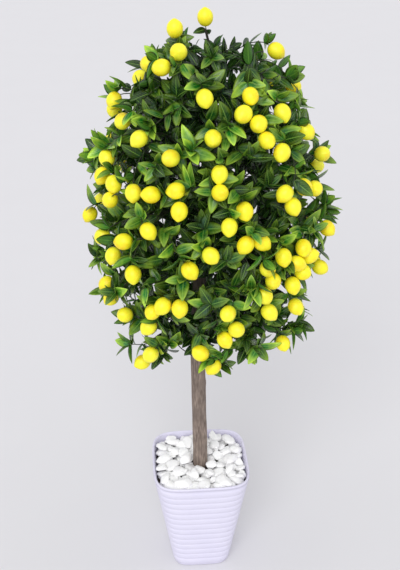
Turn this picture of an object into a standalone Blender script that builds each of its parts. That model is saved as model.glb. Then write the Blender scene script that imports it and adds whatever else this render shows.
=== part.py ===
"""Potted lemon tree: ribbed pot, soil, white pebbles, bare trunk, leafy branches and lemons.

Metres, +Z up.  The origin is the middle of the pot's underside, and the tree's front faces -Y.
A bearing is the direction round the tree seen from above: 0 is the front and +90 the right side.
"""
import math

import bpy
import bmesh
import numpy as np
from mathutils import Matrix, Vector
from mathutils.bvhtree import BVHTree

FIT_GAP = 0.0003            # space left between two pieces that touch

# Pot: a tapering rounded square with level ribs round it
POT_HEIGHT = 0.315
POT_TOP_HALF = 0.127        # half the width across the flats, at the lip
POT_BASE_HALF = 0.076
POT_SQUARENESS = 4.6        # 2 is round, and more is squarer
POT_TURN = math.radians(4.5)
POT_WALL = 0.004
POT_FLOOR = 0.006
POT_SIDES = 36
LIP_HEIGHT = 0.007
LIP_OUT = 0.0015
RIB_COUNT = 14
RIB_DEPTH = 0.0014
PLAIN_FOOT = 0.010          # plain band under the lowest rib
PLAIN_HEAD = 0.017          # plain band from the highest rib to the top

# What fills the pot
SOIL_BELOW_LIP = 0.034
SOIL_TOP = POT_HEIGHT - SOIL_BELOW_LIP
BED_THICKNESS = 0.006       # the pebbles' lowest layer, packed into one sheet
PEBBLE_HALF = (0.0175, 0.0135, 0.0120)      # half lengths of an ordinary pebble
PEBBLE_SWELL = 0.08         # how much larger or smaller the others are, as a share
PEBBLE_TILT = math.radians(14)
PEBBLE_RINGS = ((6, 0.046), (10, 0.075), (15, 0.103))   # number in each ring and its half width
PEBBLE_LIFT = 0.0012        # lowest point of a stone over the bed's underside

# Trunk: height, sideways lean and share of its full radius at each of its bends
TRUNK_RADIUS = 0.020
TRUNK_BENDS = (
    (0.060, 0.000, 1.00),
    (0.310, 0.001, 0.99),
    (0.460, -0.002, 0.96),
    (0.620, -0.006, 0.94),
    (0.760, -0.004, 0.90),
    (0.900, 0.000, 0.80),
    (1.040, 0.006, 0.65),
    (1.180, 0.014, 0.47),
    (1.300, 0.022, 0.30),
    (1.385, 0.026, 0.20),
    (1.425, 0.018, 0.17),
    (1.4535, 0.011, 0.15),
)

# Crown: an egg round its own middle line, a little to the right of the pot
CROWN_SHIFT = 0.022
CROWN_REACH = 0.278
CROWN_MIDDLE = 1.02
CROWN_RISE = 0.49           # from the middle to the top
CROWN_DROP = 0.46           # from the middle to the bottom

# Each branch: bearing in degrees, height of its tip in metres, and whether it bears a modelled lemon
BRANCHES = (
    (-42, 1.395, True), (100, 1.40, True), (170, 1.39, False),
    (-4, 1.35, True), (-88, 1.30, True), (112, 1.31, True),
    (-40, 1.265, True), (27, 1.30, True), (-140, 1.28, False),
    (62, 1.26, True), (-62, 1.205, True), (4, 1.18, True),
    (100, 1.16, False), (150, 1.20, True), (-112, 1.14, True),
    (-28, 1.09, True), (-84, 1.04, True), (15, 1.07, True),
    (72, 1.03, True), (180, 1.04, False), (-150, 1.06, True),
    (125, 1.02, False), (-100, 0.94, False), (-60, 0.915, True),
    (-22, 0.92, True), (8, 0.91, True), (66, 0.945, True),
    (172, 0.82, False), (118, 0.86, False), (-138, 0.84, False),
    (-58, 0.685, True), (46, 0.775, True),
)
STEM_HALF = 0.0024          # half thickness of a branch's stem where it leaves the trunk
TIP_HALF = 0.0013
NODE_LENGTH = 0.005         # the short swelling that a whorl of leaves stands on
SHOOT_LENGTH = 0.105
SHOOT_SPREAD = math.radians(46)

LEAF_LENGTH = 0.062
LEAF_WIDTH = 0.026
LEAF_THICKNESS = 0.0016
LEAF_WIDEST = 0.45          # share of its length where a leaf is widest
LEAF_TILT = math.radians(56)
LEAF_DROOP = 0.10           # share of its length by which a leaf's tip hangs
LEAF_SHORTER = (1.0, 0.8, 0.62)     # lengths that a leaf may have where room is short
CLEARANCE = 0.0015          # air kept between leaves, stems and lemons of different shoots

LEMON_LENGTH = 0.043
LEMON_WIDTH = 0.038
LEMON_SIDES = 8
LEMON_ROOM = 0.53 * max(LEMON_LENGTH, LEMON_WIDTH)      # radius of the air that a lemon fills


# ---------------------------------------------------------------- materials and small helpers
def material(name, colour, roughness):
    """A plain Principled material of one colour."""
    made = bpy.data.materials.new(name)
    made.use_nodes = True
    shader = made.node_tree.nodes["Principled BSDF"]
    shader.inputs["Base Color"].default_value = (*colour, 1.0)
    shader.inputs["Roughness"].default_value = roughness
    shader.inputs["Metallic"].default_value = 0.0
    return made


def add_object(name, mesh, collection, surface=None):
    """A mesh as a named object in the given collection."""
    made = bpy.data.objects.new(name, mesh)
    collection.objects.link(made)
    if surface is not None and not mesh.materials:
        mesh.materials.append(surface)
    return made


def baked(made):
    """Replace an object's modifiers by the mesh that they give."""
    bpy.context.view_layer.update()
    seen = made.evaluated_get(bpy.context.evaluated_depsgraph_get())
    mesh = bpy.data.meshes.new_from_object(seen)
    made.modifiers.clear()
    made.data = mesh
    return made


def squareness(angle):
    """How far the rounded square stands out at an angle, as a share of its half width."""
    power = POT_SQUARENESS
    total = abs(math.cos(angle)) ** power + abs(math.sin(angle)) ** power
    return total ** (-1.0 / power)


def turned(name, profile, sides, collection, surface, square=False):
    """Turn a profile of (radius, height) points about Z, and square its plan if asked."""
    mesh = bpy.data.meshes.new(name)
    points = [(radius, 0.0, height) for radius, height in profile]
    mesh.from_pydata(points, [(i, i + 1) for i in range(len(points) - 1)], [])
    made = add_object(name, mesh, collection)
    screw = made.modifiers.new("turn", "SCREW")
    screw.steps = sides
    screw.render_steps = sides
    screw.use_merge_vertices = True
    screw.merge_threshold = 0.00005
    baked(made)
    if square:
        for vertex in made.data.vertices:
            x, y, _ = vertex.co
            factor = squareness(math.atan2(y, x))
            vertex.co.x = x * factor
            vertex.co.y = y * factor
    made.data.materials.clear()
    made.data.materials.append(surface)
    made.data.shade_smooth()
    made.data.set_sharp_from_angle(angle=math.radians(35))
    return made


def boolean(made, other, operation):
    """Join another object to this one, or cut it out, and keep the result as a mesh."""
    step = made.modifiers.new(operation.lower(), "BOOLEAN")
    step.operation = operation
    step.solver = "EXACT"
    step.use_self = operation == "UNION"
    step.object = other
    return baked(made)


# ---------------------------------------------------------------- pot, soil and pebbles
def pot_half(height):
    """Half width of the pot's outer face, at the bottom of its grooves."""
    return POT_BASE_HALF + (POT_TOP_HALF - POT_BASE_HALF) * height / POT_HEIGHT


def pot_inside(height):
    """Half width of the pot's inner face."""
    return pot_half(height) - POT_WALL


def make_pot(collection, surface):
    """One moulded shell: inner face, rolled lip, ribbed outer face and flat underside."""
    lip_low = POT_HEIGHT - LIP_HEIGHT
    lip_out = pot_half(POT_HEIGHT) + LIP_OUT
    profile = [(0.0, POT_FLOOR), (pot_inside(POT_FLOOR), POT_FLOOR)]
    profile.append((pot_inside(lip_low), lip_low))
    profile.append((pot_inside(POT_HEIGHT), POT_HEIGHT - LIP_OUT))
    profile.append((pot_inside(POT_HEIGHT) + LIP_OUT, POT_HEIGHT))
    profile.append((lip_out - LIP_OUT, POT_HEIGHT))
    profile.append((lip_out, POT_HEIGHT - LIP_OUT))
    profile.append((lip_out, lip_low))
    low = PLAIN_FOOT
    high = POT_HEIGHT - PLAIN_HEAD
    pitch = (high - low) / RIB_COUNT
    for rib in range(RIB_COUNT):
        groove = high - rib * pitch
        ridge = groove - 0.5 * pitch
        profile.append((pot_half(groove), groove))
        profile.append((pot_half(ridge) + RIB_DEPTH, ridge))
    profile.append((pot_half(low), low))
    profile.append((pot_half(0.0), 0.002))
    profile.append((pot_half(0.0) - 0.002, 0.0))
    profile.append((0.0, 0.0))
    made = turned("pot", profile, POT_SIDES, collection, surface, square=True)
    made.rotation_euler.z = POT_TURN
    return made


def trunk_hole(collection, name):
    """A cutter that leaves room for the trunk, with its gap, from the trunk's foot up."""
    low = TRUNK_BENDS[0][0] - FIT_GAP
    high = POT_HEIGHT
    radius = TRUNK_RADIUS + abs(TRUNK_BENDS[1][1]) + FIT_GAP
    mesh = bpy.data.meshes.new(name)
    shape = bmesh.new()
    bmesh.ops.create_cone(shape, cap_ends=True, segments=20, radius1=radius, radius2=radius,
                          depth=high - low)
    bmesh.ops.translate(shape, verts=shape.verts, vec=(0.0, 0.0, 0.5 * (low + high)))
    shape.to_mesh(mesh)
    shape.free()
    made = add_object(name, mesh, collection)
    made.hide_render = True
    made.display_type = "WIRE"
    return made


def make_soil(collection, surface, cutter):
    """Potting soil that fills the pot up to the pebbles, round the trunk's buried foot."""
    low = POT_FLOOR + FIT_GAP
    high = SOIL_TOP
    profile = [(0.0, high), (pot_inside(high) - FIT_GAP, high)]
    profile.append((pot_inside(low) - FIT_GAP, low))
    profile.append((0.0, low))
    made = turned("soil", profile, POT_SIDES, collection, surface, square=True)
    boolean(made, cutter, "DIFFERENCE")
    made.rotation_euler.z = POT_TURN
    return made


def make_pebbles(collection, guides, surface, cutter):
    """Rings of rounded stones, each a little different, that lie packed on the soil."""
    low = SOIL_TOP + FIT_GAP
    high = low + BED_THICKNESS
    profile = [(0.0, high), (pot_inside(high) - 2.0 * FIT_GAP, high)]
    profile.append((pot_inside(low) - 2.0 * FIT_GAP, low))
    profile.append((0.0, low))
    made = turned("pebbles", profile, POT_SIDES, collection, surface, square=True)
    boolean(made, cutter, "DIFFERENCE")
    stones = bmesh.new()
    long_half, wide_half, high_half = PEBBLE_HALF
    number = 0
    for count, half_width in PEBBLE_RINGS:
        for place in range(count):
            bearing = 2.0 * math.pi * (place + 0.5 * (count % 2)) / count
            swell = 1.0 + PEBBLE_SWELL * math.sin(2.4 * number)
            wall = pot_inside(high) - wide_half * swell
            reach = min(half_width, wall) * squareness(bearing)
            tilted = math.hypot(high_half * math.cos(PEBBLE_TILT), wide_half * math.sin(PEBBLE_TILT))
            middle = (reach * math.cos(bearing), reach * math.sin(bearing),
                      low + PEBBLE_LIFT + tilted * swell)
            turn = Matrix.Rotation(bearing + 0.5 * math.pi, 4, "Z")
            tilt = Matrix.Rotation(PEBBLE_TILT * math.cos(1.7 * number), 4, "X")
            size = Matrix.Diagonal((long_half * swell, wide_half * swell, high_half * swell, 1.0))
            bmesh.ops.create_uvsphere(stones, u_segments=6, v_segments=4, radius=1.0,
                                      matrix=Matrix.Translation(middle) @ turn @ tilt @ size)
            number += 1
    mesh = bpy.data.meshes.new("pebble_stones")
    stones.to_mesh(mesh)
    stones.free()
    loose = add_object("pebble_stones", mesh, guides)
    loose.hide_render = True
    loose.display_type = "WIRE"
    boolean(made, loose, "UNION")
    made.rotation_euler.z = POT_TURN
    return made


# ---------------------------------------------------------------- trunk
def trunk_at(height):
    """The trunk's middle and radius at a height, read between its bends."""
    heights = [bend[0] for bend in TRUNK_BENDS]
    lean = float(np.interp(height, heights, [bend[1] for bend in TRUNK_BENDS]))
    share = float(np.interp(height, heights, [bend[2] for bend in TRUNK_BENDS]))
    return Vector((lean, 0.0, height)), TRUNK_RADIUS * share


def make_trunk(collection, surface):
    """The bare trunk and the leader that it thins into, as one tapering round bar."""
    curve = bpy.data.curves.new("trunk_line", "CURVE")
    curve.dimensions = "3D"
    curve.bevel_depth = 1.0
    curve.bevel_resolution = 3
    curve.use_fill_caps = True
    line = curve.splines.new("POLY")
    line.points.add(len(TRUNK_BENDS) - 1)
    for point, (height, lean, share) in zip(line.points, TRUNK_BENDS):
        point.co = (lean, 0.0, height, 1.0)
        point.radius = TRUNK_RADIUS * share
    guide = bpy.data.objects.new("trunk_line", curve)
    collection.objects.link(guide)
    bpy.context.view_layer.update()
    seen = guide.evaluated_get(bpy.context.evaluated_depsgraph_get())
    mesh = bpy.data.meshes.new_from_object(seen)
    shape = bmesh.new()
    shape.from_mesh(mesh)
    bmesh.ops.remove_doubles(shape, verts=shape.verts, dist=0.00001)
    shape.to_mesh(mesh)
    shape.free()
    made = add_object("trunk", mesh, collection)
    made.matrix_world = guide.matrix_world
    bpy.data.objects.remove(guide)
    mesh.materials.clear()
    mesh.materials.append(surface)
    mesh.shade_smooth()
    mesh.set_sharp_from_angle(angle=math.radians(50))
    return made


# ---------------------------------------------------------------- crown
def crown_reach(height):
    """How far the crown reaches from its middle line at a height: a blunt-bottomed egg."""
    if height > CROWN_MIDDLE:
        share = min(1.0, (height - CROWN_MIDDLE) / CROWN_RISE)
        return CROWN_REACH * (1.0 - share * share) ** 0.7
    share = min(1.0, (CROWN_MIDDLE - height) / CROWN_DROP)
    return CROWN_REACH * (1.0 - share * share) ** 0.5


def outward(bearing):
    """The level direction that a bearing points in."""
    return Vector((math.sin(bearing), -math.cos(bearing), 0.0))


class Room:
    """What already takes up room in the crown, as round-ended bars of a given radius."""

    def __init__(self):
        self.bars = []

    def add(self, start, end, radius, owner):
        self.bars.append((start, end, radius, owner))

    def is_free(self, start, end, radius, *owners):
        """True where a bar keeps its clearance from everything that these owners don't own."""
        others = [bar for bar in self.bars if bar[3] not in owners]
        if not others:
            return True
        starts = np.array([bar[0] for bar in others])
        spans = np.array([bar[1] for bar in others]) - starts
        radii = np.array([bar[2] for bar in others])
        squares = np.maximum((spans * spans).sum(axis=1), 1e-12)
        for share in np.linspace(0.0, 1.0, 9):
            point = np.array(start.lerp(end, share))
            along = np.clip(((point - starts) * spans).sum(axis=1) / squares, 0.0, 1.0)
            away = np.linalg.norm(starts + spans * along[:, None] - point, axis=1)
            if np.any(away < radii + radius + CLEARANCE):
                return False
        return True

    def path_is_free(self, points, radius, *owners):
        return all(self.is_free(a, b, radius, *owners) for a, b in zip(points, points[1:]))


def bezier(share, start, lead_out, lead_in, end):
    """A point on the cubic curve through start and end that the two leads bend."""
    rest = 1.0 - share
    return (start * rest ** 3 + lead_out * 3.0 * rest * rest * share
            + lead_in * 3.0 * rest * share * share + end * share ** 3)


def lemon_axis(index, bearing):
    """The direction from a lemon's stalk to its nipple: outward, and more or less downward."""
    droop = 0.55 + 0.35 * math.sin(2.1 * index)
    return (outward(bearing) - Vector((0.0, 0.0, droop))).normalized()


def stem_line(index, bearing, height, shift):
    """The main stem's points, from just off the trunk to just behind the lemon's place."""
    axis = lemon_axis(index, bearing)
    lemon = Vector((CROWN_SHIFT, 0.0, height)) + outward(bearing) * crown_reach(height)
    end = lemon - axis * (0.5 * LEMON_LENGTH + FIT_GAP)
    leave = 0.80 + 0.60 * (height - 0.70) + shift
    middle, radius = trunk_at(leave)
    start = middle + outward(bearing) * (radius + STEM_HALF + FIT_GAP)
    span = (end - start).length
    climb = Vector((0.0, 0.0, 0.35 if height > leave else 0.15))
    lead_out = start + (outward(bearing) + climb).normalized() * span * 0.35
    lead_in = end - axis * span * 0.28
    stops = (0.0, 0.22, 0.42, 0.58, 0.72)
    points = [bezier(stop, start, lead_out, lead_in, end) for stop in stops]
    for back in (0.030, 0.030 - NODE_LENGTH, 0.014, 0.014 - NODE_LENGTH, 0.0):
        share = 1.0 - back / span * 0.9
        points.append(bezier(share, start, lead_out, lead_in, end))
    return points, axis, lemon


def pull_out(shape, face, centre, along, across, half_across, half_up):
    """Pull a four-sided face out to a new diamond section; return it and its four side faces."""
    grown = bmesh.ops.extrude_discrete_faces(shape, faces=[face])["faces"][0]
    up = along.cross(across)
    corners = [across * half_across, up * half_up, -across * half_across, -up * half_up]
    loops = list(grown.loops)
    points = [loop.vert.co.copy() for loop in loops]

    def travel(turn):
        return sum((points[i] - centre - corners[(i + turn) % 4]).length for i in range(4))

    turn = min(range(4), key=travel)
    for i, loop in enumerate(loops):
        loop.vert.co = centre + corners[(i + turn) % 4]
    sides = [side for loop in loops for side in loop.edge.link_faces if side is not grown]
    grown.normal_update()
    for side in sides:
        side.normal_update()
    return grown, sides


def misses_lemon(lemon, base, wide, tip, across, half):
    """True where a flat blade's middle line and both its edges pass clear of its own lemon."""
    for side in (-half, 0.0, half):
        edge = wide + across * side
        for share in (0.0, 0.25, 0.5, 0.75, 1.0):
            for point in (base.lerp(edge, share), edge.lerp(tip, share)):
                if (point - lemon).length < LEMON_ROOM + CLEARANCE:
                    return False
    return True


def misses_branch(shape, near, wide, tip, across, level, half):
    """True where a flat blade passes clear of everything that its own branch has grown so far."""
    corners = [near, wide + across * half, tip, wide - across * half]
    points = []
    for lift in (-CLEARANCE, CLEARANCE):
        points += [corner + level * lift for corner in corners]
    blade = BVHTree.FromPolygons(points, [(0, 1, 2), (0, 2, 3), (4, 5, 6), (4, 6, 7)])
    return not BVHTree.FromBMesh(shape).overlap(blade)


def add_leaf(shape, face, along, tilt, room, owner, lemon=None):
    """Grow one pointed leaf from a face, as long as the room for it allows."""
    normal = face.normal.copy()
    across = along.cross(normal)
    if across.length < 0.3:
        across = Vector((0.0, 0.0, 1.0)).cross(along)
    across.normalize()
    level = across.cross(along).normalized()
    if level.dot(normal) < 0.0:
        level.negate()
    direction = (along * math.cos(tilt) + level * math.sin(tilt)).normalized()
    base = face.calc_center_median()
    half = 0.5 * LEAF_WIDTH
    for share in LEAF_SHORTER:
        length = LEAF_LENGTH * share
        tip = base + direction * length - Vector((0.0, 0.0, LEAF_DROOP * length))
        wide = base + direction * length * LEAF_WIDEST
        near = base + direction * length * 0.22
        if lemon and not misses_lemon(lemon, base, wide, tip, across, half * share):
            continue
        facing = direction.cross(across)
        start = base + direction * length * 0.12
        if not misses_branch(shape, start, wide, tip, across, facing, half * share):
            continue
        if room.is_free(near, tip, half * share, owner):
            break
    else:
        return False
    room.add(near, tip, half * share, owner)
    blade, _ = pull_out(shape, face, wide, direction, across, half * share, 0.5 * LEAF_THICKNESS)
    point = bmesh.ops.poke(shape, faces=[blade])["verts"][0]
    point.co = tip
    return True


def grow_stem(shape, face, points, first_half, last_half, along_start):
    """Carry a face along a line of points as a thinning stem; return its end and side faces."""
    sides_of = []
    span = len(points) - 1
    for i in range(1, len(points)):
        ahead = points[min(i + 1, span)] - points[i - 1]
        along = ahead.normalized()
        across = Vector((0.0, 0.0, 1.0)).cross(along)
        across = across.normalized() if across.length > 0.2 else along_start
        half = first_half + (last_half - first_half) * i / span
        face, sides = pull_out(shape, face, points[i], along, across, half, half)
        sides_of.append((along, sides))
    return face, sides_of


def shoot_line(base, along, side, spread):
    """A side shoot's points: out from its stem, bending back towards the stem's direction."""
    first = (along * math.cos(spread) + side * math.sin(spread)).normalized()
    last = (first + along * 0.5).normalized()
    knee = base + first * SHOOT_LENGTH * 0.55
    end = knee + last * SHOOT_LENGTH * 0.45
    return [base, knee, end - last * NODE_LENGTH, end]


def lay_out_branches(room):
    """Settle every main stem, lemon and side shoot before any leaf grows."""
    plans = []
    for index, (degrees, height, fruiting) in enumerate(BRANCHES):
        bearing = math.radians(degrees)
        for step in range(8):
            shift = 0.012 * step * (-1.0) ** step
            points, axis, lemon = stem_line(index, bearing, height, shift)
            foot_free = room.path_is_free(points[:2], STEM_HALF * 1.4, index, "leader")
            if foot_free and room.path_is_free(points[1:], STEM_HALF * 1.4, index):
                break
        for start, end in zip(points, points[1:]):
            room.add(start, end, STEM_HALF * 1.4, index)
        if fruiting:
            room.add(lemon, lemon, LEMON_ROOM, index)
        plans.append([points, axis, lemon, bearing, fruiting, []])
    for index, plan in enumerate(plans):
        points = plan[0]
        for number, knot in enumerate((2, 3)):
            along = (points[knot + 1] - points[knot]).normalized()
            side = Vector((0.0, 0.0, 1.0)).cross(along).normalized() * (1.0 - 2.0 * number)
            base = points[knot].lerp(points[knot + 1], 0.5)
            owner = (index, number)
            for spread in (1.0, 0.75, 1.25):
                line = shoot_line(base, along, side, SHOOT_SPREAD * spread)
                clear = [line[0].lerp(line[1], 0.2)] + line[1:]
                if room.path_is_free(clear, STEM_HALF, owner):
                    for start, end in zip(clear, clear[1:]):
                        room.add(start, end, STEM_HALF, owner)
                    plan[5].append((knot, side, line, owner))
                    break
    return plans


def make_branch(index, plan, room, collection, surface):
    """One leafy branch as a single grown piece: stem, side shoots and whorls of leaves."""
    points, axis, middle, _, fruiting, shoots = plan
    lemon = middle if fruiting else None
    shape = bmesh.new()
    along = (points[1] - points[0]).normalized()
    across = Vector((0.0, 0.0, 1.0)).cross(along).normalized()
    frame = Matrix((across, along.cross(across), along)).transposed().to_4x4()
    start = Matrix.Translation(points[0] + along * STEM_HALF) @ frame
    bmesh.ops.create_cube(shape, size=2.0 * STEM_HALF, matrix=start)
    shape.normal_update()
    face = max(shape.faces, key=lambda one: one.normal.dot(along))
    end, sides_of = grow_stem(shape, face, points, STEM_HALF, TIP_HALF, across)
    grown = []
    for knot, side, line, owner in shoots:
        stem_along, sides = sides_of[knot]
        host = max(sides, key=lambda one: one.normal.dot(side))
        shoot_end, shoot_sides = grow_stem(shape, host, line, TIP_HALF * 1.3, TIP_HALF, side)
        grown.append((shoot_end, shoot_sides[-1], owner))
    for whorl, chosen in ((5, (0, 2)), (7, (0, 1, 2, 3)), (4, (1, 3))):
        whorl_along, sides = sides_of[whorl]
        for place in chosen:
            add_leaf(shape, sides[place], whorl_along, LEAF_TILT, room, index, lemon)
    if not fruiting:
        add_leaf(shape, end, axis, 0.12, room, index)
    for shoot_end, (shoot_along, sides), owner in grown:
        for side in sides:
            add_leaf(shape, side, shoot_along, LEAF_TILT, room, owner)
        add_leaf(shape, shoot_end, shoot_along, 0.12, room, owner)
    origin = points[0]
    bmesh.ops.translate(shape, verts=shape.verts, vec=-origin)
    mesh = bpy.data.meshes.new(f"branch_{index + 1:02d}")
    shape.to_mesh(mesh)
    shape.free()
    made = add_object(f"branch_{index + 1:02d}", mesh, collection, surface)
    made.location = origin
    return made


def make_lemon_mesh(collection, surface):
    """A lemon about its stalk-to-nipple line, stalk end up, middle at its origin."""
    half, radius = 0.5 * LEMON_LENGTH, 0.5 * LEMON_WIDTH
    outline = ((0.0, 1.0), (0.48, 0.90), (0.88, 0.50), (1.0, 0.04), (0.87, -0.46),
               (0.45, -0.82), (0.17, -0.93), (0.0, -1.0))
    profile = [(radius * across, half * up) for across, up in outline]
    made = turned("lemon_shape", profile, LEMON_SIDES, collection, surface)
    mesh = made.data
    bpy.data.objects.remove(made)
    return mesh


def add_lemon(number, mesh, middle, axis, collection):
    """Hang one lemon with its nipple pointing along the axis."""
    made = bpy.data.objects.new(f"lemon_{number:02d}", mesh)
    collection.objects.link(made)
    made.location = middle
    made.rotation_mode = "QUATERNION"
    made.rotation_quaternion = axis.to_track_quat("-Z", "Y")
    return made


# ---------------------------------------------------------------- assembly
def main():
    for old in list(bpy.data.objects):
        bpy.data.objects.remove(old)
    tree = bpy.data.collections.new("potted_lemon_tree")
    cutters = bpy.data.collections.new("cutters")
    bpy.context.scene.collection.children.link(tree)
    bpy.context.scene.collection.children.link(cutters)

    white_plastic = material("white_pot_plastic", (0.76, 0.74, 0.86), 0.4)
    potting_soil = material("potting_soil", (0.05, 0.03, 0.02), 0.95)
    white_stone = material("white_stone", (0.90, 0.90, 0.88), 0.55)
    bark = material("bark", (0.24, 0.19, 0.16), 0.9)
    leaf_green = material("leaf_green", (0.06, 0.17, 0.03), 0.45)
    lemon_peel = material("lemon_peel", (0.98, 0.82, 0.06), 0.45)

    make_pot(tree, white_plastic)
    make_soil(tree, potting_soil, trunk_hole(cutters, "soil_hole"))
    make_pebbles(tree, cutters, white_stone, trunk_hole(cutters, "pebble_hole"))
    make_trunk(tree, bark)

    room = Room()
    leader_end, _ = trunk_at(TRUNK_BENDS[-1][0])
    top_middle = leader_end + Vector((0.0, 0.0, 0.5 * LEMON_LENGTH + FIT_GAP))
    room.add(top_middle, top_middle, LEMON_ROOM, "leader")
    for low, high in zip(TRUNK_BENDS[1:], TRUNK_BENDS[2:]):
        room.add(trunk_at(low[0])[0], trunk_at(high[0])[0], trunk_at(low[0])[1], "leader")
    plans = lay_out_branches(room)
    lemon_mesh = make_lemon_mesh(tree, lemon_peel)
    number = 1
    add_lemon(number, lemon_mesh, top_middle, Vector((0.0, 0.0, 1.0)), tree)
    for index, plan in enumerate(plans):
        make_branch(index, plan, room, tree, leaf_green)
        if plan[4]:
            number += 1
            add_lemon(number, lemon_mesh, plan[2], plan[1], tree)


main()
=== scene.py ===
import bpy
import numpy as np
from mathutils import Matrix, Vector


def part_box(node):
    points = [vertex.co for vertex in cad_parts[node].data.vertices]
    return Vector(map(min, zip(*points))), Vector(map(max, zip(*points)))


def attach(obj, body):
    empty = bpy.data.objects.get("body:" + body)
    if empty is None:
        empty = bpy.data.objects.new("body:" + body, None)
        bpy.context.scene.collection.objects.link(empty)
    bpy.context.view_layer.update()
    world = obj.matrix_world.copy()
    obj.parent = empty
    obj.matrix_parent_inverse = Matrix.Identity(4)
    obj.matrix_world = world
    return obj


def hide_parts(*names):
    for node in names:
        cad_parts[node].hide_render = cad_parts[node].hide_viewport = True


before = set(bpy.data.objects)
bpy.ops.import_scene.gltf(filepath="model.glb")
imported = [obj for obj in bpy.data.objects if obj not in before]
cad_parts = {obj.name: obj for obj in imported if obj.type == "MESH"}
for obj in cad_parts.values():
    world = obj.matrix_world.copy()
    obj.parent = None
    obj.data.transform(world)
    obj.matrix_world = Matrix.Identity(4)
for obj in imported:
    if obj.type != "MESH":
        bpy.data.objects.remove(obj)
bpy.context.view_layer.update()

# ------------------------------------------------------------------ pot
# The pot is one injection-moulded shell of white polypropylene: a tapering rounded square with
# fourteen soft level ribs, a thin rolled lip and a plain flat base.  It stands free on the floor
# and is turned a few degrees from facing straight forward.

POT_TURN = np.radians(4.5)
POT_SQUARENESS = 4.6        # exponent of the rounded square: 2 is a circle
POT_TAPER = 0.6             # width of the base as a share of the width of the top
POT_WALL = 0.004
POT_FLOOR = 0.006
BASE_EDGE = 0.004           # the rounded edge under the wall
LIP_RADIUS = 0.0027         # the rolled edge
LIP_OUT = 0.0014
LIP_HEIGHT = 0.0070
RIBS = 14
RIB_DEPTH = 0.0021
RIB_FULLNESS = 0.45         # exponent of a rib's section: 1 is a plain half wave
PLAIN_FOOT = 0.010          # flat bands below and above the ribs
PLAIN_HEAD = 0.017
POT_SIDES = 192
SAMPLES_PER_RIB = 10


def to_linear(hex_colour):
    """Linear red, green, blue and alpha of an sRGB hex colour, by the standard sRGB curve."""
    parts = np.array([int(hex_colour[i:i + 2], 16) for i in (1, 3, 5)]) / 255.0
    linear = np.where(parts <= 0.04045, parts / 12.92, ((parts + 0.055) / 1.055) ** 2.4)
    return (*linear.tolist(), 1.0)


def add_node(tree, kind, inputs, **settings):
    """Add a node: settings are its options, inputs its sockets' values or the outputs they take."""
    node = tree.nodes.new(kind)
    for key, value in settings.items():
        setattr(node, key, value)
    for key, value in inputs.items():
        if isinstance(value, bpy.types.NodeSocket):
            tree.links.new(value, node.inputs[key])
        else:
            node.inputs[key].default_value = value
    return node.outputs


def new_surface(name):
    """A new material of this name, its node tree, and each point's own place in metres."""
    surface = bpy.data.materials.new(name)
    surface.use_nodes = True
    tree = surface.node_tree
    tree.nodes.clear()
    return surface, tree, add_node(tree, "ShaderNodeTexCoord", {})["Object"]


def skins(name, rings, first, last, grain, surface):
    """Closed skins as one piece: each is a stack of rings that a single point shuts at either end.

    Rings run counter-clockwise about the way that they are stacked, so the faces point outwards.
    rings is (skins, rows, columns, 3); first and last are (skins, 3); grain, which has the shape
    of rings, is kept on the points for the material: along, across and chance.
    """
    count, rows, columns, _ = rings.shape
    points = np.concatenate([first[:, None], rings.reshape(count, -1, 3), last[:, None]], axis=1)
    values = np.concatenate([grain[:, 0, :1], grain.reshape(count, -1, 3), grain[:, -1, :1]],
                            axis=1)
    size = rows * columns + 2
    here = np.arange(columns)
    after = (here + 1) % columns
    row = 1 + np.arange(rows - 1)[:, None] * columns
    quads = np.stack([row + here, row + after, row + columns + after, row + columns + here],
                     axis=-1)
    top = 1 + (rows - 1) * columns
    shut_low = np.stack([np.zeros(columns, int), 1 + after, 1 + here], axis=-1)
    shut_high = np.stack([np.full(columns, size - 1), top + here, top + after], axis=-1)
    move = np.arange(count)[:, None, None] * size
    quads = (quads.reshape(1, -1, 4) + move).reshape(-1, 4)
    fans = (np.concatenate([shut_low, shut_high])[None] + move).reshape(-1, 3)
    mesh = bpy.data.meshes.new(name)
    mesh.from_pydata(points.reshape(-1, 3).tolist(), [], quads.tolist() + fans.tolist())
    mesh.shade_smooth()
    layer = mesh.attributes.new("grain", "FLOAT_VECTOR", "POINT")
    layer.data.foreach_set("vector", values.reshape(-1).astype(np.float32))
    mesh.materials.append(surface)
    piece = bpy.data.objects.new(name, mesh)
    bpy.context.scene.collection.objects.link(piece)
    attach(piece, "root")
    return piece


def moulded_polypropylene():
    """White moulded polypropylene: satin, faintly lavender, with a fine eggshell skin."""
    surface, tree, place = new_surface("white_polypropylene_moulded")
    # Slow waves 70 mm across, where the melt cooled unevenly.
    cloud = add_node(tree, "ShaderNodeTexNoise", {"Vector": place, "Scale": 1.0 / 0.070})["Fac"]
    tone = add_node(tree, "ShaderNodeMix", {0: cloud, 6: to_linear("#dedbec"),
                                            7: to_linear("#d4d1e5")}, data_type="RGBA")[2]
    gloss = add_node(tree, "ShaderNodeMapRange", {"Value": cloud, "From Min": 0.3, "From Max": 0.7,
                                                  "To Min": 0.36, "To Max": 0.48})["Result"]
    # The mould's spark-eroded skin: 0.1 mm across, drawn as 1 mm so that it shows.
    skin = add_node(tree, "ShaderNodeTexNoise", {"Vector": place, "Scale": 1.0 / 0.001})["Fac"]
    relief = add_node(tree, "ShaderNodeBump", {"Height": skin, "Distance": 0.0001,
                                               "Strength": 0.3})["Normal"]
    shader = add_node(tree, "ShaderNodeBsdfPrincipled",
                      {"Base Color": tone, "Roughness": gloss, "IOR": 1.49, "Normal": relief})[0]
    add_node(tree, "ShaderNodeOutputMaterial", {"Surface": shader})
    return surface


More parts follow.
